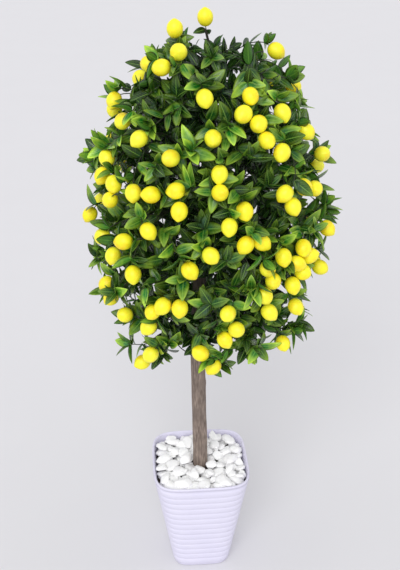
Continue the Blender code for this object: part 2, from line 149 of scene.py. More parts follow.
def square_reach(angle):
    """Rounded square of half width one: (|cosine|^p + |sine|^p)^(-1/p)."""
    power = POT_SQUARENESS
    return (np.abs(np.cos(angle)) ** power + np.abs(np.sin(angle)) ** power) ** (-1.0 / power)


pot_low, pot_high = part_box("pot")
pot_top = pot_high.z
around_pot = 2.0 * np.pi * np.arange(POT_SIDES) / POT_SIDES
turned_reach = np.max(square_reach(around_pot) * np.cos(around_pot + POT_TURN))
pot_half_top = 0.5 * (pot_high.x - pot_low.x) / turned_reach - LIP_OUT


def pot_half(height):
    """The wall's outer half width: a straight taper from the base to the top."""
    return pot_half_top * (POT_TAPER + (1.0 - POT_TAPER) * height / pot_top)


def pot_outline():
    """Half widths and heights: up the ribbed outside, over the rolled lip, down to the floor.

    A rib is a soft pillow, depth x |sine|^fullness, so narrow grooves part wide round bands.
    """
    up = np.linspace(0.0, 1.0, RIBS * SAMPLES_PER_RIB + 1)
    band = PLAIN_FOOT + (pot_top - PLAIN_HEAD - PLAIN_FOOT) * up
    pillow = RIB_DEPTH * np.abs(np.sin(np.pi * RIBS * up)) ** RIB_FULLNESS
    roll = 0.5 * np.pi * np.linspace(0.0, 1.0, 6)
    outer = pot_half(pot_top) + LIP_OUT
    inner = pot_half(pot_top) - POT_WALL
    under_lip = pot_top - LIP_HEIGHT - 0.001
    below_lip = pot_top - 0.035
    edge = 0.25 * BASE_EDGE
    widths = np.concatenate([
        [0.03, pot_half(0.0) - 3.0 * edge, pot_half(edge) - edge, pot_half(BASE_EDGE)],
        pot_half(band) + pillow,
        [pot_half(under_lip), outer],
        outer - LIP_RADIUS * (1.0 - np.cos(roll)),
        inner + LIP_RADIUS * (1.0 - np.sin(roll)),
        [pot_half(below_lip) - POT_WALL, pot_half(POT_FLOOR) - POT_WALL,
         0.6 * pot_half(POT_FLOOR)]])
    heights = np.concatenate([
        [0.0, 0.0, edge, BASE_EDGE],
        band,
        [under_lip, pot_top - LIP_HEIGHT],
        pot_top - LIP_RADIUS * (1.0 - np.sin(roll)),
        pot_top - LIP_RADIUS * (1.0 - np.cos(roll)),
        [below_lip, POT_FLOOR + 0.002, POT_FLOOR]])
    return widths, heights


def pot_rings(widths, heights, angles):
    """Level rings: each is a rounded square of its own half width and height, turned as the pot."""
    reach = widths[:, None] * square_reach(angles)
    level = np.broadcast_to(heights[:, None], reach.shape)
    return np.stack([reach * np.cos(angles + POT_TURN), reach * np.sin(angles + POT_TURN), level],
                    axis=-1)


pot_skin = pot_rings(*pot_outline(), around_pot)[None]
pot = skins("pot_shell", pot_skin, np.array([[0.0, 0.0, 0.0]]), np.array([[0.0, 0.0, POT_FLOOR]]),
            np.zeros_like(pot_skin), moulded_polypropylene())
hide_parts("pot")

# ------------------------------------------------------------------ soil
# Potting compost fills the pot nearly to the lip and holds the trunk's foot.  It is bark and peat,
# poured in and pressed down, and shows only as dark crumbs between the stones.


def potting_compost():
    """Composted bark and peat: near black-brown crumbs with paler fibres, quite matt."""
    surface, tree, place = new_surface("potting_compost_crumbed")
    # Crumbs 4 mm across.
    crumb = add_node(tree, "ShaderNodeTexNoise", {"Vector": place, "Scale": 1.0 / 0.004,
                                                  "Detail": 5.0})["Fac"]
    pale = add_node(tree, "ShaderNodeMapRange", {"Value": crumb, "From Min": 0.35,
                                                 "From Max": 0.70})["Result"]
    tone = add_node(tree, "ShaderNodeMix", {0: pale, 6: to_linear("#1c150f"),
                                            7: to_linear("#5c4b33")}, data_type="RGBA")[2]
    relief = add_node(tree, "ShaderNodeBump", {"Height": crumb, "Distance": 0.003})["Normal"]
    shader = add_node(tree, "ShaderNodeBsdfPrincipled",
                      {"Base Color": tone, "Roughness": 0.95, "Normal": relief})[0]
    add_node(tree, "ShaderNodeOutputMaterial", {"Surface": shader})
    return surface


compost = potting_compost()
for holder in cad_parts["soil"].material_slots:
    holder.material = compost

# ------------------------------------------------------------------ pebbles
# White marble chippings, tumbled until their edges are soft, are poured on the compost and lie
# loose: a bottom layer, a packed layer over it and a few stones on top, up to the lip.

STONE_HALF_LENGTH = (0.0165, 0.0280)
STONE_BREADTH = (0.60, 0.24)        # share of the length: the least, and how much more
STONE_THICKNESS = (0.34, 0.12)
STONE_FLATS = 11            # broken faces on each chipping
FLAT_OFFSET = (0.60, 0.28)  # from the middle to a broken face: least, and how much more
EDGE_SHARPNESS = 22.0       # exponent of the soft minimum
STONE_UNEVEN = 0.0022       # rise and fall within a layer
STONE_LEAN = 0.28           # radians from lying flat
TRUNK_CLEAR = 0.0205        # from the trunk's middle to the nearest stone
WALL_GAP = 0.0003
WALL_HOLD, TRUNK_HOLD = 0.80, 0.75  # share of a stone's size kept off the wall and the trunk
SETTLE_STEPS = 400
STONE_LAYERS = (            # stones, height of their middles, how tightly they pack
    (44, 0.2895, 0.97), (54, 0.3000, 0.89), (24, 0.3085, 1.28),
)


def tumbled_marble():
    """White marble: bright, with faint grey clouds, soft pits and a dull tumbled shine."""
    surface, tree, place = new_surface("white_marble_tumbled")
    carried = add_node(tree, "ShaderNodeAttribute", {}, attribute_name="grain")["Vector"]
    chance_value = add_node(tree, "ShaderNodeSeparateXYZ", {0: carried})["Z"]
    body = add_node(tree, "ShaderNodeMix", {0: chance_value, 6: to_linear("#ffffff"),
                                            7: to_linear("#f6f5f6")}, data_type="RGBA")[2]
    # Grey clouds 14 mm across.
    cloud = add_node(tree, "ShaderNodeTexNoise", {"Vector": place, "Scale": 1.0 / 0.014,
                                                  "Detail": 4.0})["Fac"]
    vein = add_node(tree, "ShaderNodeMapRange", {"Value": cloud, "From Min": 0.45, "From Max": 0.80,
                                                 "To Max": 0.35})["Result"]
    tone = add_node(tree, "ShaderNodeMix", {0: vein, 6: body, 7: to_linear("#d3d2d6")},
                    data_type="RGBA")[2]
    # Pits 3 mm across.
    pit = add_node(tree, "ShaderNodeTexNoise", {"Vector": place, "Scale": 1.0 / 0.003,
                                                "Detail": 4.0})["Fac"]
    relief = add_node(tree, "ShaderNodeBump", {"Height": pit, "Distance": 0.0006,
                                               "Strength": 0.5})["Normal"]
    shader = add_node(tree, "ShaderNodeBsdfPrincipled",
                      {"Base Color": tone, "Roughness": 0.5, "IOR": 1.5, "Normal": relief})[0]
    add_node(tree, "ShaderNodeOutputMaterial", {"Surface": shader})
    return surface


def pushes(places, room):
    """The push on each thing: straight away from every other one, by what their room overlaps."""
    own = np.eye(len(places))
    apart = places[:, None] - places[None]
    distance = np.linalg.norm(apart, axis=-1) + own
    overlap = np.maximum(0.0, room - distance) * (1.0 - own)
    return (apart / distance[..., None] * overlap[..., None]).sum(axis=1)


def settle(places, sizes, limit):
    """Push discs apart, off the trunk and inside the rounded square, until they lie at rest."""
    for _ in range(SETTLE_STEPS):
        places = places + pushes(places, sizes[:, None] + sizes[None]) * 0.3
        reach = np.linalg.norm(places, axis=1)
        wall = (limit - WALL_HOLD * sizes) * square_reach(np.arctan2(places[:, 1], places[:, 0]))
        allowed = np.clip(reach, TRUNK_CLEAR + TRUNK_HOLD * sizes, wall)
        places = places * (allowed / np.maximum(reach, 1e-6))[:, None]
    return places


def stone_skins(middles, halves, turns, flats, powers):
    """Tumbled chippings: an oval whose reach is cut back by broken faces with soft edges.

    reach = (|x|^p + |y|^p + |z|^p)^(-1/p) for each way out; c = offset / (way . face) for every
    broken face; the soft minimum of them all is (sum of each^-s)^(-1/s), s being the sharpness;
    stretched by the half sizes and turned.  A stone that would stand into the pot's wall is
    moved in by as much.
    """
    rows, columns = 13, 20
    down = np.pi * (np.arange(rows) + 1.0)[:, None] / (rows + 1.0)
    around = 2.0 * np.pi * np.arange(columns) / columns
    level = -np.cos(down) * np.ones(columns)
    way = np.stack([np.sin(down) * np.cos(around), np.sin(down) * np.sin(around), level], axis=-1)
    every = np.concatenate([[[0.0, 0.0, -1.0], [0.0, 0.0, 1.0]], way.reshape(-1, 3)])
    reach = (np.abs(every) ** powers[:, None, None]).sum(axis=-1) ** (-1.0 / powers[:, None])
    facing = np.maximum(np.einsum("pk,sfk->spf", every, flats[..., :3]), 0.02)
    cut = flats[:, None, :, 3] / facing
    reach = reach ** -EDGE_SHARPNESS + (cut ** -EDGE_SHARPNESS).sum(axis=-1)
    reach = reach ** (-1.0 / EDGE_SHARPNESS)
    shaped = every * reach[..., None] * halves[:, None]
    placed = np.einsum("sij,spj->spi", turns, shaped) + middles[:, None]
    for _ in range(4):
        bearing = np.arctan2(placed[..., 1], placed[..., 0]) - POT_TURN
        square = np.linalg.norm(placed[..., :2], axis=-1) / square_reach(bearing)
        into_wall = (square - pot_half(placed[..., 2]) + POT_WALL + WALL_GAP).max(axis=1)
        middle = placed[..., :2].mean(axis=1)
        inward = -middle / np.linalg.norm(middle, axis=-1, keepdims=True)
        placed[..., :2] += (inward * np.maximum(into_wall, 0.0)[:, None])[:, None]
    return placed[:, 2:].reshape(-1, rows, columns, 3), placed[:, 0], placed[:, 1]


def turned(spin, tilt):
    """Turning matrices: a tilt about x, then a spin about z."""
    zero, one = np.zeros_like(spin), np.ones_like(spin)
    about_z = np.stack([np.cos(spin), -np.sin(spin), zero, np.sin(spin), np.cos(spin), zero,
                        zero, zero, one], axis=-1).reshape(-1, 3, 3)
    about_x = np.stack([one, zero, zero, zero, np.cos(tilt), -np.sin(tilt),
                        zero, np.sin(tilt), np.cos(tilt)], axis=-1).reshape(-1, 3, 3)
    return about_z @ about_x


chance = np.random.default_rng(11)
stones = sum(row[0] for row in STONE_LAYERS)
smallest, largest = STONE_HALF_LENGTH
half_length = smallest + (largest - smallest) * chance.random(stones)
stone_halves = half_length[:, None] * np.stack([
    np.ones(stones), STONE_BREADTH[0] + STONE_BREADTH[1] * chance.random(stones),
    STONE_THICKNESS[0] + STONE_THICKNESS[1] * chance.random(stones)], axis=-1)
stone_discs = np.sqrt(stone_halves[:, 0] * stone_halves[:, 1])
inside_half = pot_half(pot_top - 0.02) - POT_WALL
scattered = (chance.random((stones, 2)) - 0.5) * 2.0 * inside_half
stone_places = []
done = 0
for layer_count, layer_height, packing in STONE_LAYERS:
    part = slice(done, done + layer_count)
    flat = settle(scattered[part], stone_discs[part] * packing, inside_half)
    lift = layer_height + STONE_UNEVEN * chance.normal(size=(layer_count, 1)).clip(-1.5, 1.5)
    stone_places.append(np.concatenate([flat, lift], axis=1))
    done += layer_count
stone_places = np.concatenate(stone_places) @ turned(np.array([-POT_TURN]), np.array([0.0]))[0]
stone_flats = chance.normal(size=(stones, STONE_FLATS, 4))
stone_flats[..., :3] /= np.linalg.norm(stone_flats[..., :3], axis=-1, keepdims=True)
stone_flats[..., 3] = FLAT_OFFSET[0] + FLAT_OFFSET[1] * chance.random((stones, STONE_FLATS))
stone_turns = turned(2.0 * np.pi * chance.random(stones), chance.normal(0.0, STONE_LEAN, stones))
stone_rings, stone_low, stone_high = stone_skins(
    stone_places, stone_halves, stone_turns, stone_flats, 2.0 + 0.8 * chance.random(stones))
stone_grain = np.zeros_like(stone_rings)
stone_grain[..., 2] = chance.random(stones)[:, None, None]
marble = tumbled_marble()
for number in range(stones):
    one = slice(number, number + 1)
    stone = skins(f"pebble_{number + 1:03d}", stone_rings[one], stone_low[one], stone_high[one],
                  stone_grain[one], marble)
    if number == 0:
        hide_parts("pebbles")

# ------------------------------------------------------------------ trunk
# One bare woody stem, a little crooked, grown with thin grey-brown bark.  It is rooted in the
# compost, and above the lowest branches it thins into the dark leader with the topmost lemon.

TRUNK_BENDS = np.array([    # height, sideways lean and radius
    (0.062, 0.000, 0.0196), (0.310, 0.001, 0.0198), (0.460, -0.002, 0.0190),
    (0.620, -0.006, 0.0186), (0.760, -0.004, 0.0176), (0.900, 0.000, 0.0156),
    (1.040, 0.006, 0.0126), (1.180, 0.014, 0.0092), (1.300, 0.022, 0.0054),
    (1.385, 0.026, 0.0034), (1.425, 0.018, 0.0029), (1.452, 0.011, 0.0025)])
TRUNK_ROWS = 260
TRUNK_SIDES = 40
KNOTS = ((0.43, 4.9), (0.56, 3.4), (0.69, 5.6), (0.50, 1.2))       # height and turn of each
KNOT_HALF_HEIGHT = 0.011
KNOT_SWELL = 0.10           # share of the trunk's radius


def grown_bark():
    """Young citrus bark: grey-brown, finely furrowed lengthwise, with darker patches and scars."""
    surface, tree, place = new_surface("citrus_bark_grown")
    carried = add_node(tree, "ShaderNodeAttribute", {}, attribute_name="grain")["Vector"]
    height = add_node(tree, "ShaderNodeSeparateXYZ", {0: carried})["X"]
    # Furrows 4 mm apart and about 25 mm long.
    drawn_out = add_node(tree, "ShaderNodeMapping", {"Vector": place, "Scale": (1.0, 1.0, 0.16)})[0]
    furrow = add_node(tree, "ShaderNodeTexNoise", {"Vector": drawn_out, "Scale": 1.0 / 0.004,
                                                   "Detail": 4.0})["Fac"]
    ridge = add_node(tree, "ShaderNodeMapRange", {"Value": furrow, "From Min": 0.34,
                                                  "From Max": 0.68})["Result"]
    body = add_node(tree, "ShaderNodeMix", {0: ridge, 6: to_linear("#63564e"),
                                            7: to_linear("#9b8b80")}, data_type="RGBA")[2]
    # Darker patches 30 mm across.
    patch = add_node(tree, "ShaderNodeTexNoise", {"Vector": place, "Scale": 1.0 / 0.030})["Fac"]
    shade = add_node(tree, "ShaderNodeMapRange", {"Value": patch, "From Min": 0.42,
                                                  "From Max": 0.68, "To Max": 0.6})["Result"]
    body = add_node(tree, "ShaderNodeMix", {0: shade, 6: body, 7: to_linear("#6f625a")},
                    data_type="RGBA")[2]
    # The wood is young, green and darker inside the crown: partly its own colour, partly painted
    # shade under the leaves. The foot is darkened with painted shade where it meets the stones.
    youth_and_crown_shade = add_node(tree, "ShaderNodeMapRange", {"Value": height, "From Min": 0.72,
                                                  "From Max": 1.15})["Result"]
    body = add_node(tree, "ShaderNodeMix", {0: youth_and_crown_shade, 6: body, 7: to_linear("#26261a")},
                    data_type="RGBA")[2]
    # Painted shade: the trunk darkens at and just under the top of the stones.
    foot_shade = add_node(tree, "ShaderNodeMapRange", {"Value": height, "From Min": 0.30,
                                                 "From Max": 0.325, "To Min": 0.55,
                                                 "To Max": 0.0})["Result"]
    body = add_node(tree, "ShaderNodeMix", {0: foot_shade, 6: body, 7: to_linear("#3b2a22")},
                    data_type="RGBA")[2]
    relief = add_node(tree, "ShaderNodeBump", {"Height": furrow, "Distance": 0.0018,
                                               "Strength": 0.8})["Normal"]
    shader = add_node(tree, "ShaderNodeBsdfPrincipled",
                      {"Base Color": body, "Roughness": 0.88, "Normal": relief})[0]
    add_node(tree, "ShaderNodeOutputMaterial", {"Surface": shader})
    return surface


def unit(vectors):
    """The same directions, each one long."""
    return vectors / np.maximum(np.linalg.norm(vectors, axis=-1, keepdims=True), 1e-9)


def round_bars(paths, radii, columns):
    """Rings round each path: path + radius x (cosine x side + sine x other side).

    One side is square to the path and as near as can be to the normal of the upright plane
    through its two ends, so that a bar never twists.
    """
    ahead = unit(np.gradient(paths, axis=-2))
    chord = paths[:, -1] - paths[:, 0]
    guide = unit(np.stack([chord[:, 1], -chord[:, 0] - 1e-6, np.zeros(len(chord))], axis=-1))
    side = unit(np.cross(guide[:, None], ahead))
    other = np.cross(ahead, side)
    turn = 2.0 * np.pi * np.arange(columns) / columns
    way = side[..., None, :] * np.cos(turn)[:, None] + other[..., None, :] * np.sin(turn)[:, None]
    return paths[..., None, :] + way * radii[..., None, None]


def trunk_lean(height):
    """The trunk's sideways place at a height: the mean of its bends over up to 50 mm each way."""
    height = np.asarray(height)
    window = np.linspace(-1.0, 1.0, 7) * np.clip(0.5 * (1.45 - height), 0.004, 0.05)[..., None]
    return np.interp(height[..., None] + window, TRUNK_BENDS[:, 0], TRUNK_BENDS[:, 1]).mean(axis=-1)


bark = grown_bark()
trunk_height = np.linspace(TRUNK_BENDS[0, 0], TRUNK_BENDS[-1, 0], TRUNK_ROWS)
trunk_path = np.stack([trunk_lean(trunk_height), np.zeros(TRUNK_ROWS), trunk_height], axis=-1)
trunk_radius = np.interp(trunk_height, TRUNK_BENDS[:, 0], TRUNK_BENDS[:, 2])
trunk_rings = round_bars(trunk_path[None], trunk_radius[None], TRUNK_SIDES)
around_trunk = 2.0 * np.pi * np.arange(TRUNK_SIDES) / TRUNK_SIDES
up_trunk = trunk_height[:, None]
swell = (0.020 * np.sin(3.0 * around_trunk + 2.2 * np.sin(9.0 * up_trunk))
         + 0.014 * np.sin(7.0 * around_trunk + 31.0 * up_trunk)
         + 0.012 * np.sin(2.0 * around_trunk - 57.0 * up_trunk))
for knot_height, knot_turn in KNOTS:
    off_height = (up_trunk - knot_height) / KNOT_HALF_HEIGHT
    off_turn = 4.0 * np.sin(0.5 * (around_trunk - knot_turn))
    swell = swell + KNOT_SWELL * np.exp(-(off_height ** 2 + off_turn ** 2))
trunk_out = trunk_rings[0] - trunk_path[:, None]
trunk_rings[0] = trunk_path[:, None] + trunk_out * (0.985 + swell[..., None])
trunk_grain = np.zeros_like(trunk_rings)
trunk_grain[..., 0] = trunk_height[None, :, None]
trunk = skins("trunk_and_leader", trunk_rings, trunk_path[:1], trunk_path[-1:], trunk_grain, bark)
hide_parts("trunk")

# ------------------------------------------------------------------ lemons
# Small ripe lemons hang all over the crown, each on a short green stalk from a shoot's end.  The
# framed lemons keep their places; the rest are listed in tiers, and the far side is a spiral.

CROWN_SHIFT = 0.022         # the crown's middle stands this far to the right of the pot's
CROWN_REACH = 0.278
CROWN_MIDDLE, CROWN_RISE, CROWN_DROP = 1.02, 0.49, 0.46
LEMON_HALF_LENGTH = 0.0200  # without the nipple
LEMON_RADIUS = 0.0175
NIPPLE = 0.0026
STALK_DIP = 0.0008
END_WIDTH = 0.0055          # how far across the nipple and the dip spread
LEMONS_APART = 2.1 * LEMON_RADIUS   # from middle to middle, at least
STANDING_FROM = 1.44        # lemons above this height stand up on their stalks
TIERS = (                   # height, then bearings in degrees: 0 is the front, + the right side
    (1.460, (-58,)), (1.425, (-32,)), (1.395, (-60,)), (1.350, (26,)), (1.320, (19,)),
    (1.310, (46,)), (1.285, (-58,)), (1.280, (1,)), (1.270, (30,)), (1.240, (-20, 38)),
    (1.210, (4,)), (1.190, (80,)), (1.180, (-16,)), (1.165, (-64, -28)),
    (1.160, (-52, -38, 36, 49)), (1.145, (58,)), (1.140, (-14, 15)), (1.130, (-53, 40)),
    (1.110, (8,)), (1.070, (21,)), (1.050, (-42, 0)), (1.035, (-59,)), (1.025, (34, 47)),
    (1.015, (-9,)), (1.005, (-50, 26, 51)), (0.995, (43,)), (0.980, (-37,)), (0.970, (28, 46)),
    (0.950, (26, 42)), (0.920, (-14,)), (0.905, (-26,)), (0.895, (29,)), (0.885, (-59,)),
    (0.880, (47,)), (0.860, (12,)), (0.855, (-48,)), (0.850, (-32,)), (0.840, (8,)),
    (0.795, (-5,)), (0.755, (-37,)), (0.750, (2,)),
)
FAR_LEMONS = 32
FAR_SPREAD = np.radians(84.0)       # to either side of the back
FAR_LOWEST, FAR_RISE = 0.78, 0.57
TIER_SHARE, FAR_SHARE = 0.99, 0.96  # how far out they hang, as a share of the crown's reach


def ripe_peel():
    """Ripe lemon peel: strong yellow, greener by the stalk, oily and pitted, with amber patches and
    an amber nipple end that are partly the peel's own colour and partly painted shade.
    """
    surface, tree, place = new_surface("lemon_peel_ripe")
    carried = add_node(tree, "ShaderNodeAttribute", {}, attribute_name="grain")["Vector"]
    along, _, chance_value = add_node(tree, "ShaderNodeSeparateXYZ", {0: carried})
    body = add_node(tree, "ShaderNodeMix", {0: chance_value, 6: to_linear("#fff93a"),
                                            7: to_linear("#ffef26")}, data_type="RGBA")[2]
    # Amber patches 22 mm across: partly riper peel, partly painted shade standing in for the orange
    # shade under the fruit.
    patch = add_node(tree, "ShaderNodeTexNoise", {"Vector": place, "Scale": 1.0 / 0.022})["Fac"]
    riper_and_shade = add_node(tree, "ShaderNodeMapRange", {"Value": patch, "From Min": 0.48,
                                                  "From Max": 0.75, "To Max": 0.55})["Result"]
    body = add_node(tree, "ShaderNodeMix", {0: riper_and_shade, 6: body, 7: to_linear("#f2c008")},
                    data_type="RGBA")[2]
    stalk = add_node(tree, "ShaderNodeMapRange", {"Value": along, "From Min": 0.16,
                                                  "From Max": 0.02, "To Max": 0.5})["Result"]
    body = add_node(tree, "ShaderNodeMix", {0: stalk, 6: body, 7: to_linear("#bfc936")},
                    data_type="RGBA")[2]
    # The nipple end is amber: partly the peel's own colour, partly painted shade, since most fruit
    # hang with that end down.
    tip = add_node(tree, "ShaderNodeMapRange", {"Value": along, "From Min": 0.92, "From Max": 1.0,
                                                "To Max": 0.5})["Result"]
    body = add_node(tree, "ShaderNodeMix", {0: tip, 6: body, 7: to_linear("#cf9e1e")},
                    data_type="RGBA")[2]
    # Oil pits: 1 mm apart, drawn as 1.6 mm so that they show.
    pit = add_node(tree, "ShaderNodeTexVoronoi", {"Vector": place,
                                                  "Scale": 1.0 / 0.0016})["Distance"]
    relief = add_node(tree, "ShaderNodeBump", {"Height": pit, "Distance": 0.0004,
                                               "Strength": 0.4})["Normal"]
    shader = add_node(tree, "ShaderNodeBsdfPrincipled", {
        "Base Color": body, "Roughness": 0.40, "IOR": 1.45, "Normal": relief,
        "Subsurface Weight": 0.15, "Subsurface Radius": (0.007, 0.004, 0.001)})[0]
    add_node(tree, "ShaderNodeOutputMaterial", {"Surface": shader})
    return surface


def crown_reach(height):
    """The crown's reach at a height: an egg, reach (1 - share^2)^0.7 above and ^0.5 below."""
    over = np.clip((height - CROWN_MIDDLE) / CROWN_RISE, 0.0, 0.995)
    under = np.clip((CROWN_MIDDLE - height) / CROWN_DROP, 0.0, 0.995)
    return CROWN_REACH * np.where(height > CROWN_MIDDLE, (1.0 - over ** 2) ** 0.7,
                                  (1.0 - under ** 2) ** 0.5)


def outward(bearing):
    """The level direction of a bearing in radians."""
    return np.stack([np.sin(bearing), -np.cos(bearing), np.zeros_like(bearing)], axis=-1)


def in_crown(bearing, height, share):
    """A point in the crown: its middle line plus a share of the reach along a bearing."""
    middle = np.stack([np.full_like(height, CROWN_SHIFT), np.zeros_like(height), height], axis=-1)
    return middle + outward(bearing) * (crown_reach(height) * share)[..., None]


def lemon_skins(middles, axes, sizes):
    """Lemons: an oval with a nipple at the far end and a shallow dip round the stalk.

    Across: radius x sine.  Along: - half length x cosine, plus the nipple, or the dip at the
    stalk, times exp(-(across / end width)^2).
    """
    rows, columns = 17, 22
    sweep = np.concatenate([[0.0, np.pi], np.pi * (np.arange(rows) + 1.0) / (rows + 1.0)])
    across = LEMON_RADIUS * np.sin(sweep)
    end = np.where(sweep > 0.5 * np.pi, NIPPLE, STALK_DIP) * np.exp(-(across / END_WIDTH) ** 2)
    along = end - LEMON_HALF_LENGTH * np.cos(sweep)
    turn = 2.0 * np.pi * np.arange(columns) / columns
    guide = np.where(np.abs(axes[:, 2:]) > 0.9, [[1.0, 0.0, 0.0]], [[0.0, 0.0, 1.0]])
    side = unit(np.cross(guide, axes))
    other = np.cross(axes, side)
    way = side[:, None] * np.cos(turn)[:, None] + other[:, None] * np.sin(turn)[:, None]
    down = middles[:, None] + axes[:, None] * along[:, None] * sizes[:, None, None]
    spread = way[:, None] * across[2:, None, None] * sizes[:, None, None, None]
    return down[:, 2:, None] + spread, down[:, 0], down[:, 1], sweep[2:] / np.pi


framed = sorted(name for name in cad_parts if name.startswith("lemon_"))
framed_middles = np.array([0.5 * (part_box(name)[0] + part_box(name)[1]) for name in framed])
tier_bearings = np.radians([float(bearing) for _, row in TIERS for bearing in row])
tier_heights = np.array([height for height, row in TIERS for _ in row])
spiral = np.arange(FAR_LEMONS)
far_bearings = np.pi + FAR_SPREAD * (2.0 * ((spiral * 0.618034 + 0.3) % 1.0) - 1.0)
far_heights = FAR_LOWEST + FAR_RISE * (spiral + 0.5) / FAR_LEMONS
lemon_middles = np.concatenate([
    framed_middles, in_crown(tier_bearings, tier_heights, TIER_SHARE),
    in_crown(far_bearings, far_heights, FAR_SHARE)])
lemons = len(lemon_middles)
added = np.arange(lemons) >= len(framed)
for _ in range(80):
    lemon_middles[added] += (pushes(lemon_middles, LEMONS_APART) * 0.5)[added]
chance = np.random.default_rng(5)
lemon_out = lemon_middles - [CROWN_SHIFT, 0.0, 0.0]
lemon_bearings = np.arctan2(lemon_out[:, 0], -lemon_out[:, 1]) + chance.normal(0.0, 0.9, lemons)
lemon_axes = outward(lemon_bearings)
lemon_axes[:, 2] = -0.80 + 0.60 * chance.normal(size=lemons)
standing = np.flatnonzero(lemon_middles[:, 2] > STANDING_FROM)
lemon_axes[standing] = (-0.05, -0.20, 1.0)
lemon_axes = unit(lemon_axes)
lemon_rings, lemon_low, lemon_high, lemon_along = lemon_skins(
    lemon_middles, lemon_axes, 0.96 + 0.07 * chance.random(lemons))
lemon_grain = np.zeros_like(lemon_rings)
lemon_grain[..., 0] = lemon_along[:, None]
lemon_grain[..., 2] = chance.random(lemons)[:, None, None]
peel = ripe_peel()
for number in range(lemons):
    one = slice(number, number + 1)
    lemon = skins(f"fruit_{number + 1:03d}", lemon_rings[one], lemon_low[one], lemon_high[one],
                  lemon_grain[one], peel)
    if number < len(framed):
        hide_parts(framed[number])

# ------------------------------------------------------------------ branches
# Each branch is grown from the trunk: a thin dark stem, side shoots off it, and pointed waxy
# leaves in whorls round every lemon and shoot end.  Shoots without fruit fill the crown.

LEAF_LENGTH = (0.036, 0.055)
LEAF_WIDTH = 0.50           # share of a leaf's length
LEAF_THICKNESS = 0.0007
LEMON_CLEAR = 0.0182        # from a lemon's middle to the nearest leaf
WHORL = 6                   # leaves round a shoot's end, and single ones back along it
SINGLE = 6
LEAVES_LOST = 0.10          # share of the leaves that never grew or fell
LEADER_LEAF = 0.80          # the leader's leaves are this much of the others' length
TOP_LEAVES, TOP_LEAF_LENGTH = 3, 0.032
STEM_RADII = (0.0024, 0.0013)       # at the trunk and at the far end
SHOOT_RADII = (0.0013, 0.0010)
STEM_POINTS, SHOOT_POINTS = 15, 10
WHORL_BACK, WHORL_STAGGER = 0.009, 0.004    # a whorl's place back from its shoot's end
SINGLE_BACK, SINGLE_STEP = 0.022, 0.016     # the single leaves' places
SHOOT_SETS = (              # count, first bearing, lowest, rise, share of the reach, sway, wave
    (122, 1.0, 0.770, 0.600, 0.92, 0.08, 2.3),      # outer, among the lemons
    (150, 0.0, 0.780, 0.560, 0.62, 0.16, 1.7),      # inner, hiding the trunk
    (18, 0.4, 0.735, 0.070, 0.45, 0.20, 2.9),       # a low skirt close about the trunk
    (14, 0.2, 1.345, 0.075, 0.62, 0.30, 2.1))       # a tuft round the leader's top
LEADER_FROM = 1.37          # shoots that end above this height leave the leader
LEADER_DROP = 0.060         # they leave it this far below their own ends
TOP_DROP = 0.030            # and the topmost lemon's this far below the leader's tip
SPRIGS = np.array([         # bearing, height and share of the reach of each sprig that stands out
    (-62.0, 0.700, 0.80), (-50.0, 0.715, 0.75), (-68.0, 0.725, 1.00), (-56.0, 0.680, 0.95),
    (32.0, 0.775, 0.95), (58.0, 0.785, 1.02), (25.0, 0.770, 0.85), (64.0, 0.795, 1.00),
    (10.0, 0.735, 0.90), (-92.0, 1.160, 1.04), (-84.0, 1.185, 1.00), (-96.0, 1.130, 1.02),
    (92.0, 1.040, 1.00), (84.0, 1.065, 0.98), (-88.0, 0.930, 1.00)])
GOLDEN_TURN = np.pi * (3.0 - np.sqrt(5.0))


def green_wood():
    """Young citrus wood: dark olive green going to near black, slightly rough."""
    surface, tree, place = new_surface("citrus_wood_green")
    # Mottling 6 mm across.
    mottle = add_node(tree, "ShaderNodeTexNoise", {"Vector": place, "Scale": 1.0 / 0.006})["Fac"]
    tone = add_node(tree, "ShaderNodeMix", {0: mottle, 6: to_linear("#14180e"),
                                            7: to_linear("#38441f")}, data_type="RGBA")[2]
    relief = add_node(tree, "ShaderNodeBump", {"Height": mottle, "Distance": 0.0006,
                                               "Strength": 0.5})["Normal"]
    shader = add_node(tree, "ShaderNodeBsdfPrincipled",
                      {"Base Color": tone, "Roughness": 0.7, "Normal": relief})[0]
    add_node(tree, "ShaderNodeOutputMaterial", {"Surface": shader})
    return surface


